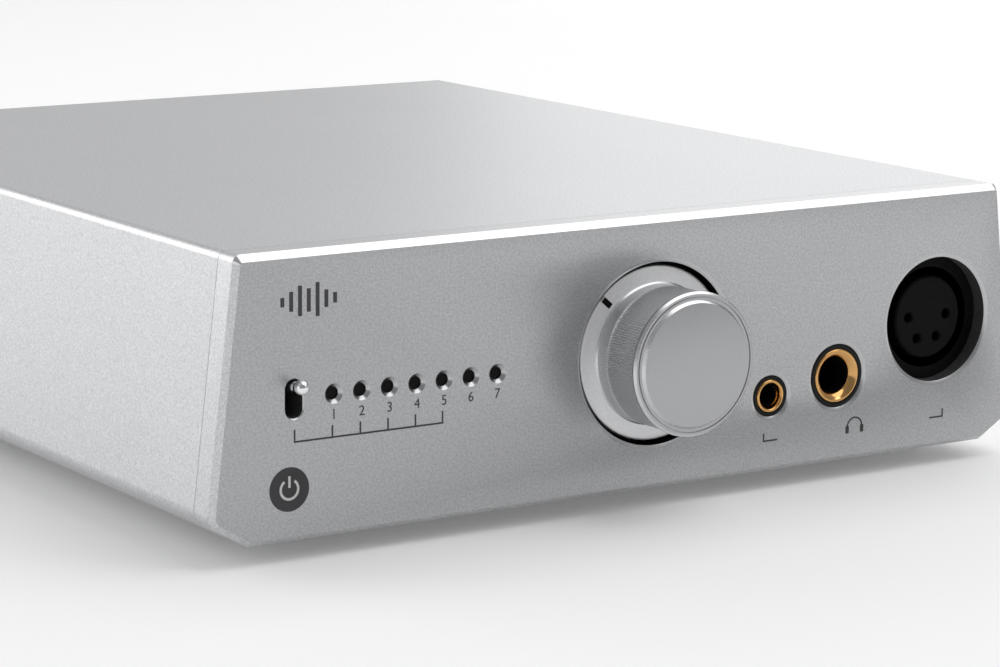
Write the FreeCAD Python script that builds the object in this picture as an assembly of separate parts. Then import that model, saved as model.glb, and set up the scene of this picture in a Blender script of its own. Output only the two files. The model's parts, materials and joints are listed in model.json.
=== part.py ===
"""Desktop DAC and headphone amplifier: an extruded aluminium case with its panels, controls and sockets.

Millimetres, +Z up. The front faces -Y and +X is to the right as seen from the front. The sub-parts are
drawn in case coordinates: x from the case's middle plane, y as depth behind the front face, and z from
the case's underside. place() then moves them so that the origin is at the centre of the whole object's
footprint, on the surface that the feet stand on.
"""
import FreeCAD, Part
import math
import os

V = FreeCAD.Vector
RIGHT = V(1, 0, 0)
BACK = V(0, 1, 0)
UP = V(0, 0, 1)

# Case
case_length = 200.0
case_height = 50.0
top_half_width = 83.15
side_lean = 0.118            # how far the sides lean out, per mm down from the top
bottom_half_width = 80.95
underside_slope = 0.60       # rise of the lower corner's sloping face, per mm outwards
corner_radii = (1.5, 2.75, 1.2)
wall = 2.5
fit_gap = 0.15               # around a plate that drops into the sleeve
foot_height = 3.5
foot_radius = 8.0
foot_x = 58.0
foot_well = 2.3              # depth of the screw well under each foot
foot_depths = (32.0, 168.0)
channel_places = ((78.0, 44.9), (81.5, 6.5))     # x and z of the sleeve's screw channels, right side
channel_radius = 3.4
rail_inner, rail_outer, rail_top = 67.5, 74.5, 6.0
cover_thickness = 1.5
cover_gap = 0.1
cover_screw_x = 71.0
cover_screw_depths = (20.0, 103.0, 186.0)
vent_count, vent_pitch, first_vent_x, vent_depth = 6, 8.0, -52.0, 100.0

# Front panel
panel_thickness = 6.0
seam = 0.1
top_bevel = 1.2
side_bevel = 0.9
hole_bevel = 0.7             # width of the bevel round each large hole
hole_bevel_depth = 0.35
subpanel_thickness = 1.5
subpanel_front = panel_thickness + seam
subpanel_back = subpanel_front + subpanel_thickness

# Screws, all M3
thread_radius = 1.5
clearance_radius = 1.6
head_radius = 2.8
head_height = 1.8
flush_head_height = 1.3
socket_radius = 1.15
socket_depth = 0.9

# Rear panel
rear_thickness = 3.0
rear_face = case_length
rear_inside = rear_face - rear_thickness

# Volume control
knob_x, knob_z = 2.9, 24.85
recess_radius = 16.8
recess_depth = 4.0
skirt_radius = 16.05
skirt_front = 1.3            # the skirt's rim stands this far behind the front face
skirt_back = 3.2
barrel_radius = 12.8
barrel_base = 0.6            # depth where the sloping skirt meets the barrel
crown_radius = 13.1
crown_length = 1.5
skirt_edge = 0.2             # chamfer round the skirt's rim
knob_proud = 12.0
knob_disc_radius = 11.1
knob_cavity_radius = 7.0     # room behind the knob for the bush's nut
pointer_angle = -46.0        # degrees from straight up, clockwise as seen from the front
pointer_width, pointer_length = 1.12, 2.2
shaft_radius = 3.0
running_gap = 0.05
pot_bush_radius = 3.5

# Input lever
toggle_x, toggle_z = -72.25, 24.7
toggle_slot_width = 3.35
toggle_slot_height = 6.75
toggle_pivot_depth = 12.0
toggle_tilt = 9.5            # degrees above level at rest
toggle_reach = 16.0          # pivot to tip
toggle_tip_radius = 1.33
toggle_ball_radius = 1.9
toggle_pin_radius = 0.6

# Indicator lights
light_count = 7
light_x, light_z = -64.56, 24.85
light_pitch = 5.52
light_hole_radius = 1.15
light_countersink_radius = 1.75

# Headphone sockets
large_jack_x, large_jack_z = 44.6, 16.45
large_jack_hole = 6.05
large_jack_gold = 5.1        # outer radius of the gold-plated funnel
large_jack_lip = 3.5         # radius where the funnel's cone ends
large_jack_bore = 3.25
large_jack_body = (15.4, 13.6, 26.0)
small_jack_x, small_jack_z = 29.0, 14.25
small_jack_hole = 3.9
small_jack_gold = 3.1
small_jack_lip = 2.2
small_jack_bore = 1.8
small_jack_body = (9.0, 9.0, 15.0)
balanced_x, balanced_z = 68.5, 24.95
balanced_hole = 12.0
balanced_insert_radius = 7.9
balanced_insert_depth = 2.8
balanced_shell_depth = 3.2
balanced_groove_radius = 9.7
contact_circle = 4.62
contact_turns = (31.0, 93.0)  # degrees from the lowest point of the circle, to each side
contact_bore = 0.95
contact_radius = 1.35

# Rear sockets
rca_proud = 9.0
rca_radius = 4.15
rca_bore = 1.65
line_out_x = -16.0
line_out_heights = (34.0, 16.0)
digital_x = 0.0
coax_z = 34.0
optical_z = 15.5
usb_x, usb_z = 18.0, 16.0
output_xs = (-66.0, -38.0)
output_z = 25.0
output_flange = 2.0
output_body_radius = 11.8
output_cavity = 8.2
output_screw_offsets = ((-9.5, 12.0), (9.5, -12.0))
output_pin_circle = 4.75
output_pin_radius = 1.2
optical_width, optical_height = 13.0, 13.0
usb_width, usb_height = 12.0, 11.0
socket_lip = 0.3             # how far the digital sockets stand out of the rear panel
flap_pivot_depth = rear_face - 1.0
flap_top = optical_z + 4.0   # height of the flap's hinge line
flap_half_width = 3.9
flap_drop = 7.4
flap_thickness = 1.2
flap_trunnion = 0.5
rocker_x, rocker_z = 38.0, 25.0
rocker_body = (13.0, 19.0)
rocker_pivot_depth = rear_face - 0.5
rocker_swing = 10.0
rocker_reach = 8.1           # pivot to the ends of the rocker's face
rocker_valley = 2.4          # pivot to the lowest line of its face
rocker_half_width = 5.1
rocker_trunnion = 1.0
inlet_x, inlet_z = 63.0, 25.0
inlet_body = (27.2, 19.8)
inlet_flange = 2.0

# Inside
board_thickness = 1.6
front_board_depth = 11.2
board_z = 9.0
transformer_x, transformer_depth = 38.5, 77.0
transformer_radius = 27.0
transformer_bore = 9.0
transformer_bottom = 4.0
transformer_height = 26.0
transformer_bolt_radius = 3.0
main_board_area = ((-64.0, 8.0), (34.0, 182.0))
power_board_area = ((14.0, 64.0), (112.0, 172.0))
chips = ((-45.0, 70.0, 14.0), (-45.0, 100.0, 10.0), (-28.0, 100.0, 7.0), (-45.0, 130.0, 10.0))
heat_sink_span = ((-10.0, 0.0), (70.0, 120.0))
fin_pitch = 10.0

front_y = knob_proud - (knob_proud + case_length + rca_proud) / 2
PARTS = {}


def place(shape):
    """Case coordinates to the part's own frame."""
    moved = shape.copy()
    moved.translate(V(0, front_y, foot_height))
    return moved


def add(name, *shapes):
    """File one or more separate solids under a node's name."""
    PARTS[name] = shapes[0] if len(shapes) == 1 else Part.makeCompound(list(shapes))


def box(x, y, z):
    """Box from three (low, high) pairs."""
    return Part.makeBox(x[1] - x[0], y[1] - y[0], z[1] - z[0], V(x[0], y[0], z[0]))


def centred(x, z, width, height, depths):
    """Box centred on (x, z) as seen from the front, over a (near, far) pair of depths."""
    return box((x - width / 2, x + width / 2), depths, (z - height / 2, z + height / 2))


def rod(x, z, radius, depths):
    """Cylinder that runs front to back."""
    return Part.makeCylinder(radius, depths[1] - depths[0], V(x, depths[0], z), BACK)


def post(x, y, radius, heights):
    """Upright cylinder."""
    return Part.makeCylinder(radius, heights[1] - heights[0], V(x, y, heights[0]), UP)


def tube(x, z, outer, inner, depths):
    return rod(x, z, outer, depths).cut(rod(x, z, inner, depths))


def turned(x, z, profile):
    """Solid turned about a front-to-back axis, from (radius, depth) points."""
    points = [V(x + radius, depth, z) for radius, depth in profile]
    wire = Part.makePolygon(points + points[:1])
    return Part.Face(wire).revolve(V(x, 0, z), BACK, 360)


def hexagon(x, z, across_flats, depths):
    """Hexagonal prism that runs front to back."""
    radius = across_flats / math.sqrt(3)
    turns = [math.radians(60 * i) for i in range(7)]
    wire = Part.makePolygon([V(x + radius * math.cos(t), depths[0], z + radius * math.sin(t)) for t in turns])
    return Part.Face(wire).extrude(V(0, depths[1] - depths[0], 0))


def slot(x, z, width, height, depths):
    """Upright slot with round ends."""
    half = (height - width) / 2
    ends = [rod(x, z + side * half, width / 2, depths) for side in (-1, 1)]
    return centred(x, z, width, 2 * half, depths).fuse(ends)


def rounded_outline(corners, depth):
    """Closed wire at one depth, from (x, z, radius) corners in order."""
    points = [V(x, depth, z) for x, z, _ in corners]
    arcs = []
    for i, (_, _, radius) in enumerate(corners):
        before = (points[i - 1] - points[i]).normalize()
        after = (points[(i + 1) % len(points)] - points[i]).normalize()
        half_angle = before.getAngle(after) / 2
        reach = radius / math.tan(half_angle)
        inwards = (before + after).normalize()
        middle = points[i] + inwards * (radius / math.sin(half_angle) - radius)
        arcs.append((points[i] + before * reach, middle, points[i] + after * reach))
    edges = []
    for i, (start, middle, end) in enumerate(arcs):
        edges.append(Part.Arc(start, middle, end).toShape())
        edges.append(Part.LineSegment(end, arcs[(i + 1) % len(arcs)][0]).toShape())
    return Part.Wire(edges)


def case_outline(depth, top=0.0, side=0.0, bottom=0.0):
    """The case's outline, moved inwards by the given amounts at its top, sides and underside."""
    sloped = side * math.hypot(1, underside_slope)
    foot_of_side = top_half_width + case_height * side_lean - side * math.hypot(1, side_lean)
    rise = (foot_of_side - bottom_half_width) * underside_slope + sloped
    corner_z = rise / (1 + side_lean * underside_slope)
    inset = (top, side, bottom)
    top_r, side_r, bottom_r = [max(r - i, 0.4) for r, i in zip(corner_radii, inset)]
    top_z = case_height - top
    half = [
        (foot_of_side - side_lean * top_z, top_z, top_r),
        (foot_of_side - side_lean * corner_z, corner_z, side_r),
        (bottom_half_width + (bottom - sloped) / underside_slope, bottom, bottom_r),
    ]
    mirrored = [(-x, z, radius) for x, z, radius in reversed(half)]
    return rounded_outline(half + mirrored, depth)


def prism(wire, length):
    return Part.Face(wire).extrude(V(0, length, 0))


def drop_in_plate(depths):
    """Plate that fits inside the sleeve."""
    inset = wall + fit_gap
    return prism(case_outline(depths[0], inset, inset, inset), depths[1] - depths[0])


def bevelled_hole(x, z, radius, depths, width=hole_bevel, depth=hole_bevel_depth):
    """Round hole with a bevelled front edge."""
    spread = radius + width * (1 + 1 / depth)
    edge = turned(x, z, [(0, -1), (spread, -1), (radius, depth), (0, depth)])
    return rod(x, z, radius, depths).fuse(edge)


def screw(at, out, length, flush=False):
    """M3 socket screw: its head bears at a point and faces along out. A flush head sinks in instead."""
    shank = Part.makeCylinder(thread_radius, length, V(0, 0, -length), UP)
    if flush:
        low = V(0, 0, -flush_head_height)
        head = Part.makeCone(thread_radius, head_radius, flush_head_height, low, UP)
        head_top = 0.0
    else:
        head = Part.makeCylinder(head_radius, head_height)
        head_top = head_height
    turns = [math.radians(60 * i) for i in range(7)]
    floor = head_top - socket_depth
    corners = [V(socket_radius * math.cos(t), socket_radius * math.sin(t), floor) for t in turns]
    wire = Part.makePolygon(corners)
    body = head.fuse(shank).cut(Part.Face(wire).extrude(V(0, 0, 2 * socket_depth)))
    body.Placement = FreeCAD.Placement(at, FreeCAD.Rotation(UP, out))
    return body


# Case parts

def screw_channels():
    """Centres of the four screw channels that run along the sleeve's inner corners."""
    return [(side * x, z) for side in (-1, 1) for x, z in channel_places]


def cover_screws():
    return [(side * cover_screw_x, depth) for side in (-1, 1) for depth in cover_screw_depths]


def case_sleeve():
    start = panel_thickness + seam
    length = rear_face - start
    shell = prism(case_outline(start), length)
    hollow = prism(case_outline(start - 1, wall, wall, wall), length + 2)
    body = shell.cut(hollow)
    channel_span = (subpanel_back, rear_inside)
    inner = prism(case_outline(start, wall - 0.5, wall - 0.5, wall - 0.5), length)
    for x, z in screw_channels():
        body = body.fuse(rod(x, z, channel_radius, channel_span).common(inner))
    for side in (-1, 1):
        xs = sorted((side * rail_inner, side * (rail_outer + 1)))
        body = body.fuse(box(xs, (subpanel_back, rear_inside), (1.0, rail_top)))
    body = body.cut(box((-rail_inner, rail_inner), (start - 1, rear_face + 1), (-1, wall + 1)))
    rebate = cover_thickness + cover_gap
    body = body.cut(box((-rail_outer, rail_outer), (start - 1, rear_face + 1), (-1, rebate)))
    for x, z in screw_channels():
        body = body.cut(rod(x, z, thread_radius, (start - 1, rear_face + 1)))
    for x, depth in cover_screws():
        body = body.cut(post(x, depth, thread_radius, (0, 5.2)))
    return body


def bottom_cover():
    span = (panel_thickness + seam, rear_face)
    half = rail_outer - cover_gap
    plate = box((-half, half), span, (0, cover_thickness))
    for x, depth in cover_screws():
        plate = plate.cut(post(x, depth, clearance_radius, (-1, 3)))
        plate = plate.cut(
            Part.makeCone(head_radius + 0.1, clearance_radius, flush_head_height, V(x, depth, 0), UP))
    for x, depth in foot_places():
        plate = plate.cut(post(x, depth, thread_radius, (-1, 3)))
    plate = plate.cut(post(transformer_x, transformer_depth, transformer_bolt_radius, (-1, 3)))
    return plate.cut([vent(first_vent_x + vent_pitch * i, vent_depth) for i in range(vent_count)])


def vent(x, depth, width=2.5, length=26.0):
    """Ventilation slot through the bottom cover."""
    half = (length - width) / 2
    cutter = box((x - width / 2, x + width / 2), (depth - half, depth + half), (-1, 3))
    return cutter.fuse([post(x, depth + side * half, width / 2, (-1, 3)) for side in (-1, 1)])


def foot_places():
    return [(side * foot_x, depth) for side in (-1, 1) for depth in foot_depths]


def rubber_foot(x, depth):
    block = Part.makeCone(foot_radius - 0.8, foot_radius, foot_height, V(x, depth, -foot_height), UP)
    well = post(x, depth, 3.6, (-foot_height - 1, foot_well - foot_height))
    return block.cut(well).cut(post(x, depth, thread_radius, (-foot_height - 1, 1)))


def front_panel():
    rear_part = prism(case_outline(top_bevel), panel_thickness - top_bevel)
    edge = case_outline(0, top_bevel, side_bevel, side_bevel)
    face = Part.makeLoft([case_outline(top_bevel), edge], True, True)
    panel = rear_part.fuse(face)
    through = (-1, panel_thickness + 1)
    panel = panel.cut(bevelled_hole(knob_x, knob_z, recess_radius, (-1, recess_depth)))
    panel = panel.cut(rod(knob_x, knob_z, pot_bush_radius + 0.1, through))
    panel = panel.cut(bevelled_hole(large_jack_x, large_jack_z, large_jack_hole, through))
    panel = panel.cut(bevelled_hole(small_jack_x, small_jack_z, small_jack_hole, through))
    panel = panel.cut(bevelled_hole(balanced_x, balanced_z, balanced_hole, through))
    for x in light_places():
        countersink = light_countersink_radius - light_hole_radius
        panel = panel.cut(bevelled_hole(x, light_z, light_hole_radius, through, countersink, countersink))
    panel = panel.cut(slot(toggle_x, toggle_z, toggle_slot_width, toggle_slot_height, through))
    for x, z in panel_screws():
        panel = panel.cut(rod(x, z, thread_radius, (2.5, panel_thickness + 1)))
    return panel


def light_places():
    return [light_x + light_pitch * i for i in range(light_count)]


def panel_screws():
    """Blind threaded holes in the back of the front panel."""
    return [(x, z) for x in (-60.0, -22.0, 24.0, 52.5) for z in (6.8, 42.5)]


def front_subpanel():
    plate = drop_in_plate((subpanel_front, subpanel_back))
    through = (subpanel_front - 1, subpanel_back + 1)
    for x, z in screw_channels() + panel_screws():
        plate = plate.cut(rod(x, z, thread_radius + 0.1, through))
    for x, z in screw_channels():
        at = V(x, subpanel_front, z)
        plate = plate.cut(Part.makeCone(head_radius + 0.1, clearance_radius, flush_head_height, at, BACK))
    plate = plate.cut(rod(knob_x, knob_z, pot_bush_radius + 0.1, through))
    plate = plate.cut(rod(large_jack_x, large_jack_z, large_jack_hole, through))
    plate = plate.cut(rod(small_jack_x, small_jack_z, small_jack_hole, through))
    plate = plate.cut(rod(balanced_x, balanced_z, balanced_hole, through))
    plate = plate.cut(centred(toggle_x, toggle_z, 4.4, 8.4, through))
    for x in light_places():
        plate = plate.cut(rod(x, light_z, light_hole_radius + 0.05, through))
    for x, z in front_board_posts():
        plate = plate.fuse(tube(x, z, 2.6, thread_radius, (subpanel_back - 0.5, front_board_depth)))
    return plate


def rear_panel():
    plate = drop_in_plate((rear_inside, rear_face))
    tongue_half = rail_inner - 0.2
    tongue = (cover_thickness + cover_gap, 4.0)
    plate = plate.fuse(box((-tongue_half, tongue_half), (rear_inside, rear_face), tongue))
    through = (rear_inside - 1, rear_face + 1)
    for side in (-1, 1):
        xs = sorted((side * tongue_half, side * (rail_outer + 1.2)))
        plate = plate.cut(box(xs, through, (0, wall + fit_gap)))
    for x, z in screw_channels():
        plate = plate.cut(rod(x, z, thread_radius + 0.1, through))
    for x in output_xs:
        plate = plate.cut(rod(x, output_z, output_body_radius + 0.1, through))
        for dx, dz in output_screw_offsets:
            plate = plate.cut(rod(x + dx, output_z + dz, thread_radius, through))
    for x, z in rca_places():
        plate = plate.cut(rod(x, z, 4.4, through))
    plate = plate.cut(centred(digital_x, optical_z, optical_width + 0.3, optical_height + 0.3, through))
    plate = plate.cut(centred(usb_x, usb_z, usb_width + 0.3, usb_height + 0.3, through))
    plate = plate.cut(centred(rocker_x, rocker_z, rocker_body[0] + 0.2, rocker_body[1] + 0.2, through))
    return plate.cut(centred(inlet_x, inlet_z, inlet_body[0] + 0.2, inlet_body[1] + 0.2, through))


# Volume control

def volume_knob():
    step = 0.6 - knob_proud
    groove = (knob_disc_radius + 1.0, knob_disc_radius + 1.2)
    profile = [
        (0, -1.5), (knob_cavity_radius, -1.5), (knob_cavity_radius, skirt_back), (skirt_radius, skirt_back),
        (skirt_radius, skirt_front + skirt_edge), (skirt_radius - skirt_edge, skirt_front),
        (barrel_radius, barrel_base), (barrel_radius, crown_length - knob_proud),
        (crown_radius, crown_length - knob_proud), (crown_radius, step + 0.4), (crown_radius - 0.4, step),
        (groove[1], step), (groove[1], step + 0.2), (groove[0], step + 0.2), (groove[0], step),
        (knob_disc_radius + 0.5, step), (knob_disc_radius, -knob_proud), (0, -knob_proud),
    ]
    knob = turned(knob_x, knob_z, profile)
    return knob.cut(pot_shaft()).cut(pointer_inlay())


def pot_shaft():
    """Six-millimetre shaft with a flat along the end that the knob fits on."""
    flat_depth = 1.5
    shaft = rod(knob_x, knob_z, shaft_radius, (-9.0, 18.5))
    flat = box((knob_x - 5, knob_x + 5), (-10, 0), (knob_z + flat_depth, knob_z + 5))
    return shaft.cut(flat)


def pointer_inlay():
    """Black mark let into the skirt's sloping face."""
    outer = skirt_radius - skirt_edge
    slope = (skirt_front - barrel_base) / (outer - barrel_radius)
    depth = 0.35
    ends = [(radius, barrel_base + slope * (radius - barrel_radius)) for radius in (barrel_radius, outer)]
    points = [V(knob_x, front, knob_z + radius) for radius, front in ends]
    points += [V(knob_x, front + depth, knob_z + radius) for radius, front in reversed(ends)]
    band = Part.Face(Part.makePolygon(points + points[:1])).revolve(V(knob_x, 0, knob_z), BACK, 360)
    middle = outer - pointer_length / 2
    mark = centred(knob_x, knob_z + middle, pointer_width, pointer_length, (-5, 5))
    inlay = mark.common(band)
    inlay.rotate(V(knob_x, 0, knob_z), BACK, pointer_angle)
    return inlay


def volume_control():
    add("volume_knob", volume_knob())
    add("knob_pointer", pointer_inlay())
    add("volume_shaft", pot_shaft())
    bush = turned(knob_x, knob_z, [
        (shaft_radius + running_gap, 1.2), (pot_bush_radius, 1.2), (pot_bush_radius, subpanel_back + 0.2),
        (5.5, subpanel_back + 0.2), (5.5, 9.2), (shaft_radius + running_gap, 9.2)])
    add("volume_bush", bush)
    nut = hexagon(knob_x, knob_z, 10.0, (2.2, recess_depth))
    add("volume_nut", nut.cut(rod(knob_x, knob_z, pot_bush_radius, (0, 9))))
    body = centred(knob_x, knob_z, 16.0, 16.0, (9.2, 21.0))
    body = body.cut(rod(knob_x, knob_z, shaft_radius + running_gap, (9, 18.8)))
    pins = [centred(knob_x + i * 2.5, 14.1, 0.8, 6.2, (12.0, 12.6)) for i in range(-2, 3)]
    add("volume_potentiometer", body.fuse(pins))


# Input lever

def toggle_lever():
    """Tapered lever on a pivot ball, with a round tip."""
    ball = Part.makeSphere(toggle_ball_radius, V(toggle_x, toggle_pivot_depth, toggle_z))
    base = toggle_pivot_depth
    tip = base - toggle_reach + toggle_tip_radius
    shaft = turned(toggle_x, toggle_z, [
        (0, base + 4.0), (0.8, base + 4.0), (0.8, base), (0.85, base - 2), (1.1, base - 12),
        (1.1, tip), (0, tip)])
    end = Part.makeSphere(toggle_tip_radius, V(toggle_x, tip, toggle_z))
    lever = ball.fuse([shaft, end])
    lever = lever.cut(toggle_pin(toggle_pin_radius + running_gap))
    lever.rotate(V(toggle_x, toggle_pivot_depth, toggle_z), RIGHT, -toggle_tilt)
    return lever


def toggle_pin(radius):
    half = 4.6
    return Part.makeCylinder(radius, 2 * half, V(toggle_x - half, toggle_pivot_depth, toggle_z), RIGHT)


def toggle_housing():
    block = centred(toggle_x, toggle_z, 9.8, 13.0, (subpanel_back, 24.0))
    throat = centred(toggle_x, toggle_z, 4.5, 8.0, (subpanel_back - 1, 13.0))
    well = centred(toggle_x, toggle_z, 4.5, 4.6, (12.0, 17.5))
    block = block.cut(throat).cut(well).cut(toggle_pin(toggle_pin_radius))
    tags = [centred(toggle_x, toggle_z + 4.0 * i, 2.0, 0.6, (24.0, 28.0)) for i in (-1, 0, 1)]
    return block.fuse(tags)


# Indicator lights

def front_board_posts():
    return [(x, z) for x in (-60.0, -22.0) for z in (16.0, 34.5)]


def indicator_lights():
    low, high = light_x - 2.2, light_places()[-1] + 2.2
    pipes = box((low, high), (subpanel_back + 0.1, 9.4), (light_z - 2.0, light_z + 2.0))
    for x in light_places():
        pipes = pipes.fuse(rod(x, light_z, light_hole_radius - 0.05, (0.9, 8.0)))
    add("light_pipes", pipes)
    board = box((-66.8, -14.5), (front_board_depth, front_board_depth + board_thickness), (11.0, 39.5))
    for x, z in front_board_posts():
        board = board.cut(rod(x, z, clearance_radius, (10, 14)))
    for x in light_places():
        board = board.fuse(centred(x, light_z, 2.0, 1.3, (9.8, front_board_depth + 0.1)))
    add("front_board", board)


# Headphone sockets

def jack(prefix, x, z, hole, gold, lip, bore, body):
    """Jack socket: black collar in the panel hole, gold-plated funnel in it, and a housing behind.

    Returns the contact springs, which stand back from the bore with no plug in.
    """
    collar = turned(x, z, [
        (gold, 0.25), (hole - 0.25, 0.25), (hole - 0.05, 0.45), (hole - 0.05, subpanel_back),
        (gold, subpanel_back)])
    add(prefix + "_collar", collar)
    funnel = turned(x, z, [
        (gold, subpanel_back), (gold, 0.35), (gold - 0.3, 0.1), (gold - 0.6, 0.1), (lip, 0.9),
        (bore, 1.8), (bore, subpanel_back)])
    add(prefix + "_funnel", funnel)
    width, height, length = body
    housing = centred(x, z, width, height, (subpanel_back, subpanel_back + length))
    housing = housing.cut(rod(x, z, bore, (subpanel_back - 1, subpanel_back + length - 2)))
    contact_springs = []
    for i in range(3):
        near = subpanel_back + length * (0.25 + 0.22 * i)
        housing = housing.cut(centred(x + bore + 0.9, z, 2.4, 2.4, (near, near + 2.4)))
        contact_springs.append(centred(x + bore + 0.9, z, 0.5, 2.0, (near + 0.2, near + 2.2)))
    add(prefix + "_housing", housing)
    return contact_springs


def headphone_jacks():
    springs = jack(
        "large_jack", large_jack_x, large_jack_z, large_jack_hole, large_jack_gold, large_jack_lip,
        large_jack_bore, large_jack_body)
    springs += jack(
        "small_jack", small_jack_x, small_jack_z, small_jack_hole, small_jack_gold, small_jack_lip,
        small_jack_bore, small_jack_body)
    add("jack_contacts", *springs)


def contact_places():
    """Centres of the balanced socket's four contacts."""
    turns = [math.radians(side * turn) for turn in contact_turns for side in (-1, 1)]
    return [(balanced_x + contact_circle * math.sin(t), balanced_z - contact_circle * math.cos(t))
            for t in turns]


def balanced_socket():
    x, z = balanced_x, balanced_z
    far, shell_radius = 24.0, balanced_hole - 0.05
    flange_back = subpanel_back + 2.0
    shell = turned(x, z, [
        (balanced_groove_radius, balanced_shell_depth), (shell_radius, balanced_shell_depth),
        (shell_radius, subpanel_back), (11.5, subpanel_back), (11.5, far),
        (balanced_insert_radius, far), (balanced_insert_radius, 17.0), (balanced_groove_radius, 17.0)])
    flange = centred(x, z, 25.0, 30.0, (subpanel_back, flange_back)).cut(rod(x, z, 11.0, (0, 30)))
    add("balanced_shell", shell.fuse(flange))
    insert = rod(x, z, balanced_insert_radius, (balanced_insert_depth, far))
    contacts = []
    mouth = balanced_insert_depth + 1.2
    for cx, cz in contact_places():
        insert = insert.cut(rod(cx, cz, contact_bore, (0, mouth + 1)))
        insert = insert.cut(rod(cx, cz, contact_radius, (mouth, far + 1)))
        contact = rod(cx, cz, contact_radius, (mouth, 20.0)).fuse(rod(cx, cz, 0.9, (20.0, 28.0)))
        contacts.append(contact.cut(rod(cx, cz, contact_bore, (mouth - 1, 18.0))))
    add("balanced_insert", insert)
    add("balanced_contacts", *contacts)


# Rear sockets

def rca_places():
    return [(line_out_x, z) for z in line_out_heights] + [(digital_x, coax_z)]


def rca_socket(x, z):
    """Gold-plated barrel with its flange and rear tail."""
    return turned(x, z, [
        (rca_radius - 0.8, rear_face + rca_proud), (rca_radius - 0.3, rear_face + rca_proud),
        (rca_radius, rear_face + rca_proud - 0.3), (rca_radius, rear_face + 1.4), (5.8, rear_face + 1.4),
        (5.8, rear_face), (4.3, rear_face), (4.3, rear_face - 8), (rca_radius - 0.8, rear_face - 8)])


def rca_insulator(x, z):
    return tube(x, z, rca_radius - 0.8, rca_bore + 0.45, (rear_face - 8, rear_face + rca_proud - 0.6))


def rca_contact(x, z):
    bore_end = rear_face - 4
    contact = rod(x, z, rca_bore + 0.45, (rear_face - 11, rear_face + rca_proud - 1.0))
    return contact.cut(rod(x, z, rca_bore, (bore_end, rear_face + rca_proud)))


def output_shell(x):
    """Three-pin chassis connector with its square flange on the outside of the rear panel."""
    flange = centred(x, output_z, 26.0, 31.0, (rear_face, rear_face + output_flange))
    body = rod(x, output_z, output_body_radius, (rear_face - 14.0, rear_face))
    shell = flange.fuse(body)
    shell = shell.cut(rod(x, output_z, output_cavity, (rear_face - 11.0, rear_face + 5)))
    shell = shell.cut(centred(x, output_z - output_cavity, 2.4, 2.4, (rear_face - 8.0, rear_face + 5)))
    for dx, dz in output_screw_offsets:
        shell = shell.cut(rod(x + dx, output_z + dz, thread_radius + 0.1, (rear_face - 1, rear_face + 5)))
    for pin_x, pin_z in output_pin_places(x):
        shell = shell.cut(rod(pin_x, pin_z, output_pin_radius, (rear_face - 20, rear_face - 5)))
    return shell


def output_screw_places():
    return [(x + dx, output_z + dz) for x in output_xs for dx, dz in output_screw_offsets]


def output_pin_places(x):
    turns = [math.radians(30 + 120 * i) for i in range(3)]
    return [(x + output_pin_circle * math.cos(t), output_z + output_pin_circle * math.sin(t)) for t in turns]


def output_pins(x):
    span = (rear_face - 18.0, rear_face - 1.5)
    return [rod(pin_x, pin_z, output_pin_radius, span) for pin_x, pin_z in output_pin_places(x)]


def usb_socket():
    mouth = rear_face + socket_lip
    shell = centred(usb_x, usb_z, usb_width, usb_height, (rear_face - 15.0, mouth))
    cavity = centred(usb_x, usb_z, 8.6, 7.9, (rear_face - 9.5, mouth + 1))
    for side in (-1, 1):
        corner = centred(usb_x + side * 4.3, usb_z + 3.95, 2.2, 2.2, (rear_face - 12, mouth + 2))
        corner.rotate(V(usb_x + side * 4.3, 0, usb_z + 3.95), BACK, 45)
        cavity = cavity.cut(corner)
    return shell.cut(cavity)


def usb_tongue():
    tongue = centred(usb_x, usb_z, 5.6, 3.2, (rear_face - 9.5, rear_face - 0.9))
    for side in (-1, 1):
        for dx in (-1.25, 1.25):
            strip = centred(usb_x + dx, usb_z + side * 1.6, 0.9, 0.3, (rear_face - 9.5, rear_face - 1.4))
            tongue = tongue.fuse(strip)
    return tongue


def optical_socket():
    mouth = rear_face + socket_lip
    shell = centred(digital_x, optical_z, optical_width, optical_height, (rear_face - 14.0, mouth))
    cavity = centred(digital_x, optical_z, 8.6, 8.6, (rear_face - 11.0, mouth + 1))
    roof = centred(digital_x, optical_z + 1.0, 8.6, 9.0, (rear_face - 10.5, rear_face - 0.2))
    shell = shell.cut(cavity).cut(roof)
    trunnions = Part.makeCylinder(
        flap_trunnion + running_gap, 10.4, V(digital_x - 5.2, flap_pivot_depth, flap_top), RIGHT)
    return shell.cut(trunnions).fuse(rod(digital_x, optical_z, 1.6, (rear_face - 12.0, rear_face - 9.5)))


def optical_flap():
    """Dust flap that a plug pushes in and up."""
    depths = (flap_pivot_depth - flap_thickness / 2, flap_pivot_depth + flap_thickness / 2)
    xs = (digital_x - flap_half_width, digital_x + flap_half_width)
    leaf = box(xs, depths, (flap_top - flap_drop, flap_top))
    top = Part.makeCylinder(
        flap_thickness / 2, 2 * flap_half_width, V(xs[0], flap_pivot_depth, flap_top), RIGHT)
    pin = Part.makeCylinder(flap_trunnion, 10.0, V(digital_x - 5.0, flap_pivot_depth, flap_top), RIGHT)
    return leaf.fuse([top, pin])


def rocker_frame():
    flange = centred(rocker_x, rocker_z, 15.0, 21.0, (rear_face, rear_face + 1.5))
    body = centred(rocker_x, rocker_z, rocker_body[0], rocker_body[1], (rear_face - 14.0, rear_face))
    frame = flange.fuse(body)
    frame = frame.cut(centred(rocker_x, rocker_z, 10.8, 17.0, (rear_face - 9.0, rear_face + 5)))
    frame = frame.cut(rocker_trunnions(rocker_trunnion + running_gap, 6.1))
    span = (rear_face - 21.0, rear_face - 14.0)
    return frame.fuse([centred(rocker_x, rocker_z + dz, 4.8, 0.8, span) for dz in (-5, 5)])


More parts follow.
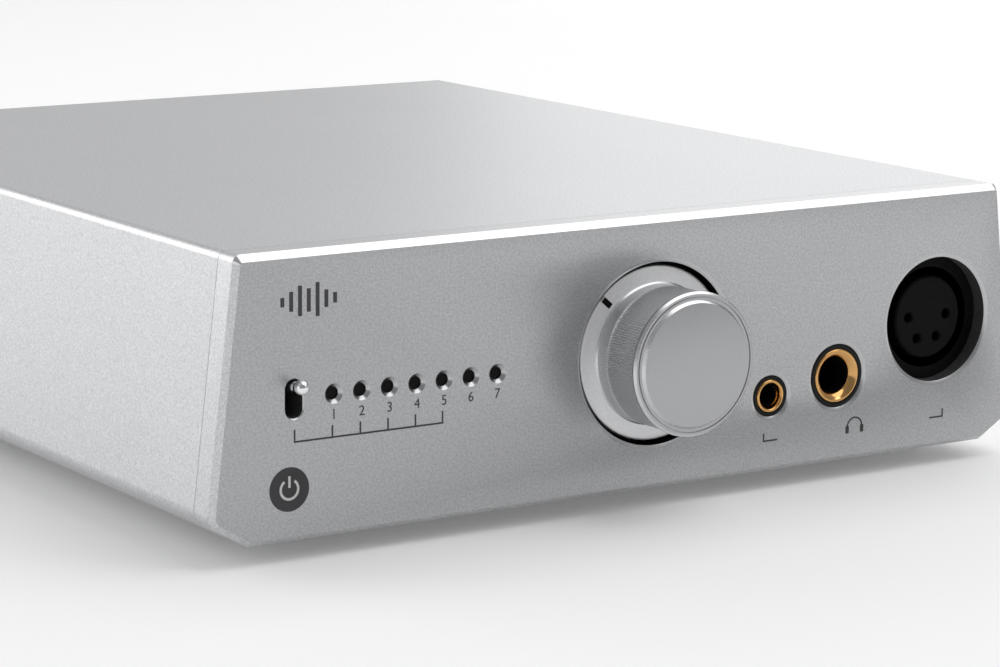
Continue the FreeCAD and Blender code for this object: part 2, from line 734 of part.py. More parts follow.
def rocker_trunnions(radius, half):
    return Part.makeCylinder(radius, 2 * half, V(rocker_x - half, rocker_pivot_depth, rocker_z), RIGHT)


def power_rocker():
    """Rocker with a shallow valley across its face, drawn level and then tilted to its off position."""
    rise = math.tan(math.radians(rocker_swing))
    edge, base, base_half = rocker_reach * 0.96, 3.5, 5.0
    outline = [
        (rocker_valley + edge * rise, -edge), (rocker_valley, 0), (rocker_valley + edge * rise, edge),
        (-base, base_half), (-base, -base_half)]
    low_x = rocker_x - rocker_half_width
    points = [V(low_x, rocker_pivot_depth + out, rocker_z + up) for out, up in outline]
    body = Part.Face(Part.makePolygon(points + points[:1])).extrude(V(2 * rocker_half_width, 0, 0))
    pivot = V(low_x, rocker_pivot_depth, rocker_z)
    limit = Part.makeCylinder(rocker_reach, 2 * rocker_half_width, pivot, RIGHT)
    body = body.common(limit).fuse(rocker_trunnions(rocker_trunnion, 5.9))
    body.rotate(V(rocker_x, rocker_pivot_depth, rocker_z), RIGHT, rocker_swing)
    return body


def mains_inlet():
    face = rear_face + inlet_flange
    flange = centred(inlet_x, inlet_z, 31.0, 24.0, (rear_face, face))
    body = centred(inlet_x, inlet_z, inlet_body[0], inlet_body[1], (rear_face - 18.0, rear_face))
    shell = flange.fuse(body)
    cavity = centred(inlet_x, inlet_z, 24.2, 16.6, (face - 16.5, face + 1))
    for side in (-1, 1):
        corner = centred(inlet_x + side * 12.1, inlet_z + 8.3, 4.8, 4.8, (face - 20, face + 2))
        corner.rotate(V(inlet_x + side * 12.1, 0, inlet_z + 8.3), BACK, 45)
        cavity = cavity.cut(corner)
    shell = shell.cut(cavity)
    for pin in inlet_pins():
        shell = shell.cut(pin)
    return shell


def inlet_pins():
    """Earth, line and neutral blades."""
    span = (rear_face - 24.0, rear_face - 0.5)
    places = ((0.0, 2.0), (-7.0, -2.0), (7.0, -2.0))
    return [centred(inlet_x + dx, inlet_z + dz, 2.0, 4.0, span) for dx, dz in places]


def rear_connectors():
    add("rca_barrels", *[rca_socket(x, z) for x, z in rca_places()])
    add("rca_insulators", *[rca_insulator(x, z) for x, z in rca_places()])
    add("rca_contacts", *[rca_contact(x, z) for x, z in rca_places()])
    for name, x in zip(("balanced_out_left", "balanced_out_right"), output_xs):
        add(name, output_shell(x))
    add("balanced_out_pins", *[pin for x in output_xs for pin in output_pins(x)])
    add("usb_socket", usb_socket())
    add("usb_tongue", usb_tongue())
    add("optical_socket", optical_socket())
    add("optical_flap", optical_flap())
    add("power_switch_frame", rocker_frame())
    add("power_rocker", power_rocker())
    add("mains_inlet", mains_inlet())
    add("mains_inlet_pins", *inlet_pins())


# Inside

def board_posts():
    """Places of the pillars under the two boards."""
    places = []
    for (x0, x1), (y0, y1) in (main_board_area, power_board_area):
        places += [(x, y) for x in (x0 + 5, x1 - 5) for y in (y0 + 5, y1 - 5)]
    return places


def board(area):
    (x0, x1), (y0, y1) = area
    plate = box((x0, x1), (y0, y1), (board_z, board_z + board_thickness))
    for x, y in board_posts():
        plate = plate.cut(post(x, y, clearance_radius, (0, 20)))
    return plate


def main_board():
    """Signal board with its converter and clock chips soldered on."""
    populated = board(main_board_area)
    top = board_z + board_thickness
    for x, y, size in chips:
        half = size / 2
        populated = populated.fuse(box((x - half, x + half), (y - half, y + half), (top - 0.1, top + 1.4)))
    return populated


def capacitor(x, y, radius, height, base):
    """Can with a rolled groove near its foot."""
    can = post(x, y, radius, (base, base + height))
    groove = post(x, y, radius + 1, (base + 2.0, base + 2.8)).cut(post(x, y, radius - 0.4, (base, base + 5)))
    return can.cut(groove)


def circuit_boards():
    """The two boards on their pillars, with the screws that also hold the front board."""
    add("main_board", main_board())
    add("power_board", board(power_board_area))
    pillars = [post(x, y, 2.8, (cover_thickness, board_z)) for x, y in board_posts()]
    threads = [post(x, y, thread_radius, (0, board_z + 1)) for x, y in board_posts()]
    add("board_pillars", *[pillar.cut(thread) for pillar, thread in zip(pillars, threads)])
    top, outer = board_z + board_thickness, front_board_depth + board_thickness
    screws = [screw(V(x, y, top), UP, 5.0) for x, y in board_posts()]
    screws += [screw(V(x, outer, z), BACK, 5.0) for x, z in front_board_posts()]
    add("board_screws", *screws)


def power_supply():
    """Smoothing capacitors, and regulators on a finned heat sink."""
    top = board_z + board_thickness
    cans = [capacitor(x, y, 8.0, 26.0, top) for x in (28.0, 50.0) for y in (126.0, 146.0)]
    add("reservoir_capacitors", *cans)
    small = [capacitor(-10.0 - 11.0 * i, 166.0, 3.0, 11.0, top) for i in range(4)]
    add("filter_capacitors", *small)
    xs, depths = heat_sink_span
    sink = box(xs, depths, (top + 1.0, top + 4.0)).fuse(box((-6.0, -4.0), (75.0, 115.0), (top, top + 1.0)))
    for i in range(5):
        fin = depths[0] + 2.0 + fin_pitch * i
        sink = sink.fuse(box(xs, (fin, fin + 2.0), (top + 4.0, top + 20.0)))
    add("heat_sink", sink)
    heights = (top + 4.0, top + 13.0)
    add("regulators", *[box((0.0, 4.5), (near, near + 10.0), heights) for near in (81.0, 93.0)])


def mains_transformer():
    """Toroid between a rubber pad and a dished washer, held down by one bolt."""
    x, y = transformer_x, transformer_depth
    low, high = transformer_bottom, transformer_bottom + transformer_height
    washer_top = high + 1.5
    ring = post(x, y, transformer_radius, (low, high)).cut(post(x, y, transformer_bore, (low - 1, high + 1)))
    around = 2 * math.pi * transformer_bore - 1
    soft = [edge for edge in ring.Edges if edge.Length > around and edge.Closed]
    add("transformer", ring.makeFillet(4.0, soft))
    bolt_hole = post(x, y, transformer_bolt_radius, (0, high + 3))
    add("transformer_pad", post(x, y, transformer_radius - 2, (cover_thickness, low)).cut(bolt_hole))
    add("transformer_washer", post(x, y, 16.0, (high, washer_top)).cut(bolt_hole))
    bolt = post(x, y, transformer_bolt_radius, (0.2, washer_top))
    add("transformer_bolt", bolt.fuse(post(x, y, 5.0, (washer_top, washer_top + 3.5))))


def ribbon_cable():
    """Flat cable from the front board to the main board."""
    left, width, thickness = -52.0, 24.0, 0.8
    top, near = board_z + board_thickness, front_board_depth + board_thickness
    profile = [
        (near, 16.0), (near + thickness, 16.0), (near + thickness, 12.2), (38.0, 11.4), (38.0, top),
        (36.0, top), (36.0, 10.7), (near, 11.4)]
    points = [V(left, depth, z) for depth, z in profile]
    ribbon = Part.Face(Part.makePolygon(points + points[:1])).extrude(V(width, 0, 0))
    add("front_ribbon_cable", ribbon)


def case_parts():
    add("case_sleeve", case_sleeve())
    add("front_panel", front_panel())
    add("front_subpanel", front_subpanel())
    add("rear_panel", rear_panel())
    add("bottom_cover", bottom_cover())
    under_screws = [screw(V(x, depth, 0.05), UP * -1, 5.0, True) for x, depth in cover_screws()]
    add("bottom_cover_screws", *under_screws)
    add("rubber_feet", *[rubber_foot(x, y) for x, y in foot_places()])
    foot_screws = [screw(V(x, depth, -foot_height + foot_well), UP * -1, 2.7) for x, depth in foot_places()]
    add("foot_screws", *foot_screws)
    rear_screws = [screw(V(x, rear_face, z), BACK, 8.0) for x, z in screw_channels()]
    flange_face = rear_face + output_flange
    rear_screws += [screw(V(x, flange_face, z), BACK, 8.0) for x, z in output_screw_places()]
    add("rear_panel_screws", *rear_screws)
    add("front_panel_screws", *[screw(V(x, subpanel_back, z), BACK, 4.6) for x, z in panel_screws()])
    channel_screws = [screw(V(x, subpanel_front, z), BACK * -1, 11.0, True) for x, z in screw_channels()]
    add("channel_screws", *channel_screws)


case_parts()
volume_control()
add("toggle_lever", toggle_lever())
add("toggle_pin", toggle_pin(toggle_pin_radius))
add("toggle_housing", toggle_housing())
indicator_lights()
headphone_jacks()
balanced_socket()
rear_connectors()
circuit_boards()
power_supply()
mains_transformer()
ribbon_cable()

os.makedirs("parts", exist_ok=True)
for node, shape in PARTS.items():
    place(shape).exportStep("parts/" + node + ".step")
print(len(PARTS), "sub-parts")
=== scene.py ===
"""Looks of the desktop DAC: an anodised aluminium case with its knob, lever, lights and sockets.

Profiles and rings are written in millimetres as (radius, depth) or (x, depth, z), where depth is measured
back from the front face, and build() turns them into metres in the part's frame.
"""

import json
import math

import bmesh
import bpy
from mathutils import Matrix, Vector
from mathutils.geometry import delaunay_2d_cdt


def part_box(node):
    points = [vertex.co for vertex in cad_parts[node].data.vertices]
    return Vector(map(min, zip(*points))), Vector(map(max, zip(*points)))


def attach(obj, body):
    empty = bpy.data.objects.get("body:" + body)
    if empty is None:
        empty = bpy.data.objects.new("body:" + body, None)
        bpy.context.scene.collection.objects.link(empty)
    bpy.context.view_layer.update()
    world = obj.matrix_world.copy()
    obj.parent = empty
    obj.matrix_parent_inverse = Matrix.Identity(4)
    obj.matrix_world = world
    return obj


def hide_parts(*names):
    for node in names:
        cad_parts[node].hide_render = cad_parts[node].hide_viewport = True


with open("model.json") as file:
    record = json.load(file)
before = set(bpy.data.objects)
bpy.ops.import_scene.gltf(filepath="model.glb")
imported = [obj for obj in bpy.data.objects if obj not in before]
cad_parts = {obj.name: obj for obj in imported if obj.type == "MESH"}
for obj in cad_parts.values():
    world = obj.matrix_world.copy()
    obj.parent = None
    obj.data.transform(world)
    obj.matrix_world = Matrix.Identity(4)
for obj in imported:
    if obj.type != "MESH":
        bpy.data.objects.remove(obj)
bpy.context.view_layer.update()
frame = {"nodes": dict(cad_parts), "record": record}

MM = 0.001
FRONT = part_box("front_panel")[0].y / MM
FLOOR_OF_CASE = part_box("front_panel")[0].z / MM
PANEL_DEPTH = (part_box("front_panel")[1].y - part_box("front_panel")[0].y) / MM


def centre_of(node):
    """x and z of the middle of a CAD node, in millimetres, as seen from the front."""
    low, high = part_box(node)
    return (low.x + high.x) / 2 / MM, (low.z + high.z) / 2 / MM


def depth_range(node):
    """Nearest and furthest depth of a CAD node behind the front face, in millimetres."""
    low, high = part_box(node)
    return low.y / MM - FRONT, high.y / MM - FRONT


# Camera and stage

VIEW_AZIMUTH, VIEW_ELEVATION, VIEW_ROLL = -33.261, 10.78, 0.45     # degrees
VIEW_DISTANCE = 612.256
VIEW_ACROSS, VIEW_ABOVE = -24.084, 28.443     # how far the camera stands to the right of and above its aim
AIM_X, AIM_Z = -1.95, 0.13                    # aim on the front face, measured from the case's underside
LENS, SENSOR = 122.014, 36.0


def add_object(name, data):
    """Object with this data, linked to the scene."""
    added = bpy.data.objects.new(name, data)
    bpy.context.scene.collection.objects.link(added)
    return added


def place_camera():
    """Camera at the reference view: left of the front, a little above, with a long lens."""
    azimuth, elevation, roll = (math.radians(angle) for angle in (VIEW_AZIMUTH, VIEW_ELEVATION, VIEW_ROLL))
    distance, across, above = VIEW_DISTANCE * MM, VIEW_ACROSS * MM, VIEW_ABOVE * MM
    aim = Vector((AIM_X, FRONT, FLOOR_OF_CASE + AIM_Z)) * MM
    level = math.cos(elevation)
    back = Vector((math.sin(azimuth) * level, -math.cos(azimuth) * level, math.sin(elevation)))
    right = (-back).cross(Vector((0, 0, 1))).normalized()
    up = right.cross(-back)
    rolled_right = math.cos(roll) * right + math.sin(roll) * up
    rolled_up = -math.sin(roll) * right + math.cos(roll) * up
    data = bpy.data.cameras.new("camera")
    data.lens = LENS
    data.sensor_width = SENSOR
    data.clip_start = 0.05
    data.clip_end = 50.0
    camera = add_object("camera", data)
    axes = Matrix((rolled_right, rolled_up, back)).transposed().to_4x4()
    place = aim + rolled_right * across + rolled_up * above + back * distance
    camera.matrix_world = Matrix.Translation(place) @ axes
    bpy.context.scene.camera = camera


def soft_box(name, place, target, size, power):
    """Rectangular white light at a place, turned towards its target."""
    data = bpy.data.lights.new(name, "AREA")
    data.shape = "RECTANGLE"
    data.size, data.size_y = size
    data.energy = power
    light = add_object(name, data)
    light.location = place
    light.rotation_mode = "QUATERNION"
    light.rotation_quaternion = (Vector(target) - Vector(place)).to_track_quat("-Z", "Y")


def build_surround():
    """White surround that is dimmer in front of the object than behind it."""
    bpy.context.scene.view_settings.view_transform = "Standard"
    world = bpy.data.worlds.new("studio")
    bpy.context.scene.world = world
    world.use_nodes = True
    nodes, links = world.node_tree.nodes, world.node_tree.links
    nodes.clear()
    coordinates = nodes.new("ShaderNodeTexCoord")
    split = nodes.new("ShaderNodeSeparateXYZ")
    ramp = nodes.new("ShaderNodeValToRGB")
    shift = nodes.new("ShaderNodeMath")
    shift.operation = "MULTIPLY_ADD"
    shift.inputs[1].default_value = 0.5
    shift.inputs[2].default_value = 0.5
    background = nodes.new("ShaderNodeBackground")
    background.inputs["Strength"].default_value = 1.0
    output = nodes.new("ShaderNodeOutputWorld")
    links.new(coordinates.outputs["Generated"], split.inputs[0])
    links.new(split.outputs["Y"], shift.inputs[0])
    links.new(shift.outputs[0], ramp.inputs[0])
    ramp.color_ramp.elements[0].position = 0.15
    ramp.color_ramp.elements[0].color = (0.26, 0.26, 0.265, 1)
    ramp.color_ramp.elements[1].position = 0.80
    ramp.color_ramp.elements[1].color = (0.60, 0.60, 0.605, 1)
    links.new(ramp.outputs[0], background.inputs[0])
    links.new(background.outputs[0], output.inputs[0])


def build_floor():
    """Plain pale floor, wide enough to fill every view."""
    mesh = bpy.data.meshes.new("floor")
    reach = 6.0
    corners = [(-reach, -reach, 0), (reach, -reach, 0), (reach, reach, 0), (-reach, reach, 0)]
    mesh.from_pydata(corners, [], [(0, 1, 2, 3)])
    material = bpy.data.materials.new("floor")
    material.use_nodes = True
    shader = material.node_tree.nodes["Principled BSDF"]
    shader.inputs["Base Color"].default_value = (0.94, 0.94, 0.94, 1)
    shader.inputs["Roughness"].default_value = 0.9
    shader.inputs["Emission Color"].default_value = (1.0, 1.0, 1.0, 1)
    shader.inputs["Emission Strength"].default_value = 0.09
    mesh.materials.append(material)
    add_object("floor", mesh)


def place_lights():
    """Large soft boxes above and beside the object, and small ones for its edges and the knob's grip."""
    soft_box("top_box", (0.55, -0.15, 1.15), (0.05, 0.0, 0.0), (1.7, 1.2), 9.5)
    soft_box("right_box", (0.98, 0.86, 0.33), (0.0, 0.0, 0.03), (0.70, 0.5), 1.15)
    soft_box("left_box", (-0.9, 1.15, 0.55), (0.0, 0.0, 0.03), (1.3, 0.9), 6.5)
    soft_box("front_box", (0.95, -1.15, 0.95), (0.0, -0.1, 0.03), (0.38, 0.28), 0.85)
    soft_box("face_box", (1.2, -1.7, 0.75), (0.0, -0.1, 0.03), (1.4, 0.9), 1.0)
    soft_box("grip_box", (-1.3, -0.35, 0.3), (0.0, -0.1, 0.03), (0.6, 0.5), 0.8)


# Materials

def new_material(name):
    material = bpy.data.materials.new(name)
    material.use_nodes = True
    tree = material.node_tree
    return material, tree.nodes, tree.links, tree.nodes["Principled BSDF"]


def object_millimetres(nodes, links):
    """Place in the object's own space, in millimetres."""
    coordinates = nodes.new("ShaderNodeTexCoord")
    mapping = nodes.new("ShaderNodeMapping")
    mapping.inputs["Scale"].default_value = (1 / MM,) * 3
    links.new(coordinates.outputs["Object"], mapping.inputs[0])
    return mapping.outputs[0]


def noise(nodes, links, scale, detail):
    """Noise in object space; scale is in features per millimetre."""
    texture = nodes.new("ShaderNodeTexNoise")
    texture.inputs["Scale"].default_value = scale
    texture.inputs["Detail"].default_value = detail
    links.new(object_millimetres(nodes, links), texture.inputs["Vector"])
    return texture.outputs["Fac"]


def ramp_between(nodes, links, factor, low, high, start=0.3, end=0.7):
    """Colour that goes from low to high while the factor goes from start to end."""
    ramp = nodes.new("ShaderNodeValToRGB")
    ramp.color_ramp.elements[0].position = start
    ramp.color_ramp.elements[1].position = end
    ramp.color_ramp.elements[0].color = (*low, 1)
    ramp.color_ramp.elements[1].color = (*high, 1)
    links.new(factor, ramp.inputs[0])
    return ramp.outputs[0]


def add_bump(nodes, links, shader, height, strength, distance):
    bump = nodes.new("ShaderNodeBump")
    bump.inputs["Strength"].default_value = strength
    bump.inputs["Distance"].default_value = distance * MM
    links.new(height, bump.inputs["Height"])
    links.new(bump.outputs[0], shader.inputs["Normal"])


def metal(name, tone, roughness, grain=2.6, grain_depth=0.006, speckle=0.2):
    """Bare or anodised metal with a fine blasted grain and slow, faint tone changes."""
    material, nodes, links, shader = new_material(name)
    shader.inputs["Metallic"].default_value = 1.0
    slow = noise(nodes, links, 0.03, 3.0)
    fine = noise(nodes, links, grain, 4.0)
    mottle = 0.008
    dim = [c * (1 - mottle) for c in tone]
    lit = [min(c * (1 + mottle), 1.0) for c in tone]
    grains = nodes.new("ShaderNodeMix")
    grains.data_type = "RGBA"
    grains.blend_type = "MULTIPLY"
    grains.inputs["Factor"].default_value = 1.0
    specks = ramp_between(nodes, links, fine, (1 - speckle,) * 3, (1.0,) * 3, 0.38, 0.62)
    links.new(ramp_between(nodes, links, slow, dim, lit), grains.inputs["A"])
    links.new(specks, grains.inputs["B"])
    links.new(grains.outputs["Result"], shader.inputs["Base Color"])
    sheen = ramp_between(nodes, links, fine, (roughness * 0.97,) * 3, (roughness * 1.03,) * 3)
    links.new(sheen, shader.inputs["Roughness"])
    add_bump(nodes, links, shader, fine, 0.35, grain_depth)
    return material


def plastic(name, tone, roughness, grain=3.0, grain_depth=0.015, variation=0.15, specular=0.5):
    """Moulded plastic, rubber or paint with a fine texture."""
    material, nodes, links, shader = new_material(name)
    shader.inputs["Specular IOR Level"].default_value = specular
    slow = noise(nodes, links, 0.12, 3.0)
    fine = noise(nodes, links, grain, 2.0)
    low = [c * (1 - variation) for c in tone]
    high = [min(c * (1 + variation), 1.0) for c in tone]
    links.new(ramp_between(nodes, links, slow, low, high), shader.inputs["Base Color"])
    sheen = ramp_between(nodes, links, fine, (roughness * 0.85,) * 3, (roughness * 1.15,) * 3)
    links.new(sheen, shader.inputs["Roughness"])
    add_bump(nodes, links, shader, fine, 0.4, grain_depth)
    return material


def circuit_board(name):
    """Green solder mask with copper tracks that show through it."""
    material, nodes, links, shader = new_material(name)
    tracks = nodes.new("ShaderNodeTexBrick")
    tracks.inputs["Scale"].default_value = 0.35
    tracks.inputs["Mortar Size"].default_value = 0.06
    tracks.inputs["Color1"].default_value = (0.010, 0.085, 0.04, 1)
    tracks.inputs["Color2"].default_value = (0.012, 0.10, 0.045, 1)
    tracks.inputs["Mortar"].default_value = (0.03, 0.17, 0.08, 1)
    links.new(object_millimetres(nodes, links), tracks.inputs["Vector"])
    links.new(tracks.outputs["Color"], shader.inputs["Base Color"])
    shader.inputs["Roughness"].default_value = 0.35
    add_bump(nodes, links, shader, tracks.outputs["Fac"], 0.4, 0.03)
    return material


def wound_tape(name):
    """Overlapping turns of varnished tape round a toroid."""
    material, nodes, links, shader = new_material(name)
    low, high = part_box("transformer")
    middle = (low + high) / 2
    coordinates = nodes.new("ShaderNodeTexCoord")
    mapping = nodes.new("ShaderNodeMapping")
    mapping.inputs["Location"].default_value = -middle
    gradient = nodes.new("ShaderNodeTexGradient")
    gradient.gradient_type = "RADIAL"
    turns = nodes.new("ShaderNodeMath")
    turns.operation = "MULTIPLY"
    turns.inputs[1].default_value = 60.0
    wrap = nodes.new("ShaderNodeMath")
    wrap.operation = "FRACT"
    links.new(coordinates.outputs["Object"], mapping.inputs[0])
    links.new(mapping.outputs[0], gradient.inputs[0])
    links.new(gradient.outputs["Fac"], turns.inputs[0])
    links.new(turns.outputs[0], wrap.inputs[0])
    varnish = ramp_between(nodes, links, wrap.outputs[0], (0.09, 0.05, 0.012), (0.20, 0.12, 0.03), 0.0, 0.3)
    links.new(varnish, shader.inputs["Base Color"])
    shader.inputs["Roughness"].default_value = 0.3
    add_bump(nodes, links, shader, wrap.outputs[0], 0.5, 0.1)
    return material


def make_materials():
    """Every material, by name."""
    return {
        "case_aluminium": metal("case_aluminium", (0.70, 0.705, 0.712), 0.42),
        # Darker copy of case_aluminium for the front face: painted shade; the panel's own sides and edges
        # take case_aluminium.
        "panel_aluminium": metal("panel_aluminium", (0.53, 0.535, 0.542), 0.41),
        "rear_aluminium": metal("rear_aluminium", (0.55, 0.555, 0.562), 0.42),
        "knob_aluminium": metal("knob_aluminium", (0.47, 0.475, 0.482), 0.38, 2.0, 0.006, 0.04),
        # Lighter, rougher copy of knob_aluminium for the knob's skirt and barrel: the lighter tone is painted
        # light.
        "knob_painted_light": metal("knob_painted_light", (0.82, 0.825, 0.832), 0.52, 3.0, 0.006, 0.08),
        # Darker copy of bright_cut for the bevels round the holes, which dims their highlights: painted
        # shade.
        "hole_cut_painted_shade": metal("hole_cut_painted_shade", (0.50, 0.505, 0.512), 0.24, 4.0, 0.001, 0.02),
        "bright_cut": metal("bright_cut", (0.68, 0.685, 0.69), 0.27, 4.0, 0.001, 0.02),
        "steel": metal("steel", (0.60, 0.61, 0.62), 0.34, 2.0),
        "brass": metal("brass", (0.72, 0.55, 0.28), 0.32, 2.0),
        "gold_plate": metal("gold_plate", (0.68, 0.39, 0.145), 0.15, 2.0, 0.002, 0.03),
        "chrome": metal("chrome", (0.86, 0.87, 0.88), 0.10, 2.0, 0.001, 0.02),
        "black_metal": metal("black_metal", (0.008, 0.008, 0.0085), 0.5, 2.0, 0.02),
        "black_screw": metal("black_screw", (0.05, 0.05, 0.052), 0.38, 2.0, 0.012),
        # Black socket plastic; it is also laid on the aluminium walls and floor of the knob's recess as
        # painted shade.
        "socket_black_and_recess_shade": plastic("socket_black_and_recess_shade", (0.003, 0.003, 0.003), 0.6, 3.0, 0.006, 0.2, 0.1),
        "black_paint": plastic("black_paint", (0.004, 0.004, 0.004), 0.7, 3.0, 0.008, 0.2, 0.08),
        "grey_print": plastic("grey_print", (0.055, 0.055, 0.058), 0.6, 3.0, 0.004, 0.15, 0.3),
        "pale_print": plastic("pale_print", (0.62, 0.62, 0.60), 0.55, 3.0, 0.004, 0.06),
        "black_plastic": plastic("black_plastic", (0.005, 0.005, 0.0055), 0.5, 3.0, 0.015, 0.2, 0.18),
        "collar_plastic": plastic("collar_plastic", (0.004, 0.004, 0.0045), 0.33, 3.0, 0.008, 0.2, 0.2),
        "rocker_plastic": plastic("rocker_plastic", (0.012, 0.012, 0.013), 0.25, 1.0, 0.004),
        "white_plastic": plastic("white_plastic", (0.78, 0.78, 0.76), 0.4),
        "socket_insulator": plastic("socket_insulator", (0.80, 0.80, 0.78), 0.3, 2.0, 0.006),
        # The clear light pipes take a near-black base: painted shade for the dark inside of the case seen
        # through them.
        "clear_plastic": plastic("clear_plastic", (0.0025, 0.0025, 0.003), 0.35, 1.0, 0.003, 0.1, 0.1),
        "rubber": plastic("rubber", (0.018, 0.018, 0.018), 0.8, 2.5, 0.03),
        "capacitor_sleeve": plastic("capacitor_sleeve", (0.02, 0.02, 0.05), 0.25, 1.5, 0.006),
        "ribbon": plastic("ribbon", (0.42, 0.42, 0.44), 0.5, 1.0, 0.01),
        "circuit_board": circuit_board("circuit_board"),
        "transformer_tape": wound_tape("transformer_tape"),
    }


def dress_cad_nodes(materials):
    """Every CAD node that stays takes the material of its slot in the record."""
    slots = {entry["node"]: entry["material_slot"] for entry in frame["record"]["subparts"]}
    for name, node in frame["nodes"].items():
        for material_slot in node.material_slots:
            material_slot.material = materials[slots[name]]


# Mesh building

def build(name, vertices, faces, materials, body, smooth_angle=32.0):
    """Object from millimetre vertices at (x, depth, z) and (indices, material index) faces."""
    mesh = bpy.data.meshes.new(name)
    places = [(x * MM, (depth + FRONT) * MM, z * MM) for x, depth, z in vertices]
    mesh.from_pydata(places, [], [indices for indices, _ in faces])
    for material in materials:
        mesh.materials.append(material)
    for polygon, (_, index) in zip(mesh.polygons, faces):
        polygon.material_index = index
        polygon.use_smooth = True
    work = bmesh.new()
    work.from_mesh(mesh)
    bmesh.ops.remove_doubles(work, verts=work.verts, dist=1e-7)
    bmesh.ops.recalc_face_normals(work, faces=work.faces)
    work.to_mesh(mesh)
    work.free()
    mesh.set_sharp_from_angle(angle=math.radians(smooth_angle))
    piece = add_object(name, mesh)
    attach(piece, body)
    return piece


def bridge(faces, start, other, count, index):
    """Quads between two rings of count vertices, which begin at the vertices start and other."""
    for i in range(count):
        j = (i + 1) % count
        faces.append(((start + i, start + j, other + j, other + i), index))


def turned(x, z, profile, segments, closed=True, shape=None):
    """Rings turned about a front-to-back axis; each profile entry is (radius, depth[, material index]).

    A closed profile joins its last ring to its first. shape(turn, radius, depth) may change a radius.
    """
    vertices, faces = [], []
    for entry in profile:
        radius, depth = entry[:2]
        for i in range(segments):
            turn = 2 * math.pi * i / segments
            r = shape(turn, radius, depth) if shape else radius
            vertices.append((x + r * math.sin(turn), depth, z + r * math.cos(turn)))
    count = len(profile)
    for k in range(count if closed else count - 1):
        index = profile[k][2] if len(profile[k]) > 2 else 0
        bridge(faces, k * segments, (k + 1) % count * segments, segments, index)
    if not closed:
        for k in (0, count - 1):
            index = profile[k][2] if len(profile[k]) > 2 else 0
            faces.append((tuple(range(k * segments, (k + 1) * segments)), index))
    return vertices, faces


def circle(x, z, radius, depth, segments=96):
    """Ring about a front-to-back axis."""
    turns = [2 * math.pi * i / segments for i in range(segments)]
    return [(x + radius * math.cos(t), depth, z + radius * math.sin(t)) for t in turns]


def stadium(x, z, width, height, depth, segments=24):
    """Ring of an upright slot with round ends."""
    radius, half = width / 2, (height - width) / 2
    ring = []
    for end, start in ((1, 0.0), (-1, math.pi)):
        for i in range(segments + 1):
            t = start + math.pi * i / segments
            ring.append((x + radius * math.cos(t), depth, z + end * half + radius * math.sin(t)))
    return ring


def inside(ring, x, z):
    """Whether a point is inside a ring, as seen from the front."""
    hit = False
    for (x0, _, z0), (x1, _, z1) in zip(ring, ring[1:] + ring[:1]):
        if (z0 > z) != (z1 > z) and x < (x1 - x0) * (z - z0) / (z1 - z0) + x0:
            hit = not hit
    return hit


def pierced_plate(outer, holes):
    """Plate from chains of rings: each chain runs from the front face to the back face.

    outer and each hole are lists of (ring, material index of the band behind it).
    """
    vertices, faces = [], []
    ends = []
    for chain in [outer] + holes:
        starts = []
        for ring, _ in chain:
            starts.append(len(vertices))
            vertices.extend(ring)
        for k in range(len(chain) - 1):
            bridge(faces, starts[k], starts[k + 1], len(chain[k][0]), chain[k][1])
        ends.append((starts[0], starts[-1], len(chain[0][0])))
    for which in (0, 1):
        rings = [list(range(end[which], end[which] + end[2])) for end in ends]
        hollow = [[vertices[i] for i in ring] for ring in rings[1:]]
        order = [i for ring in rings for i in ring]
        flat = [Vector((vertices[i][0], vertices[i][2])) for i in order]
        edges, offset = [], 0
        for ring in rings:
            edges += [(offset + i, offset + (i + 1) % len(ring)) for i in range(len(ring))]
            offset += len(ring)
        _, _, triangles, origin, _, _ = delaunay_2d_cdt(flat, edges, [], 1, 1e-6)
        for triangle in triangles:
            corners = [order[origin[i][0]] for i in triangle]
            x = sum(vertices[i][0] for i in corners) / 3
            z = sum(vertices[i][2] for i in corners) / 3
            if not any(inside(ring, x, z) for ring in hollow):
                faces.append((tuple(corners), 0))
    return vertices, faces


# Case

CASE_HEIGHT = 50.0
TOP_HALF_WIDTH = 83.15
SIDE_LEAN = 0.118
BOTTOM_HALF_WIDTH = 80.95
UNDERSIDE_SLOPE = 0.60
CORNER_RADII = (1.5, 2.75, 1.2)
TOP_BEVEL = 1.2
SIDE_BEVEL = 0.9
HOLE_BEVEL = 0.7
HOLE_BEVEL_DEPTH = 0.35

# The front face takes panel_aluminium, a darker copy of the case tone that the panel's sides and edges take:
# painted shade.
PANEL_SURFACES = ("panel_aluminium", "bright_cut", "socket_black_and_recess_shade", "case_aluminium", "hole_cut_painted_shade")
PANEL, BRIGHT, RECESS_SHADE, CASE_TONE, SHADED_CUT = range(len(PANEL_SURFACES))


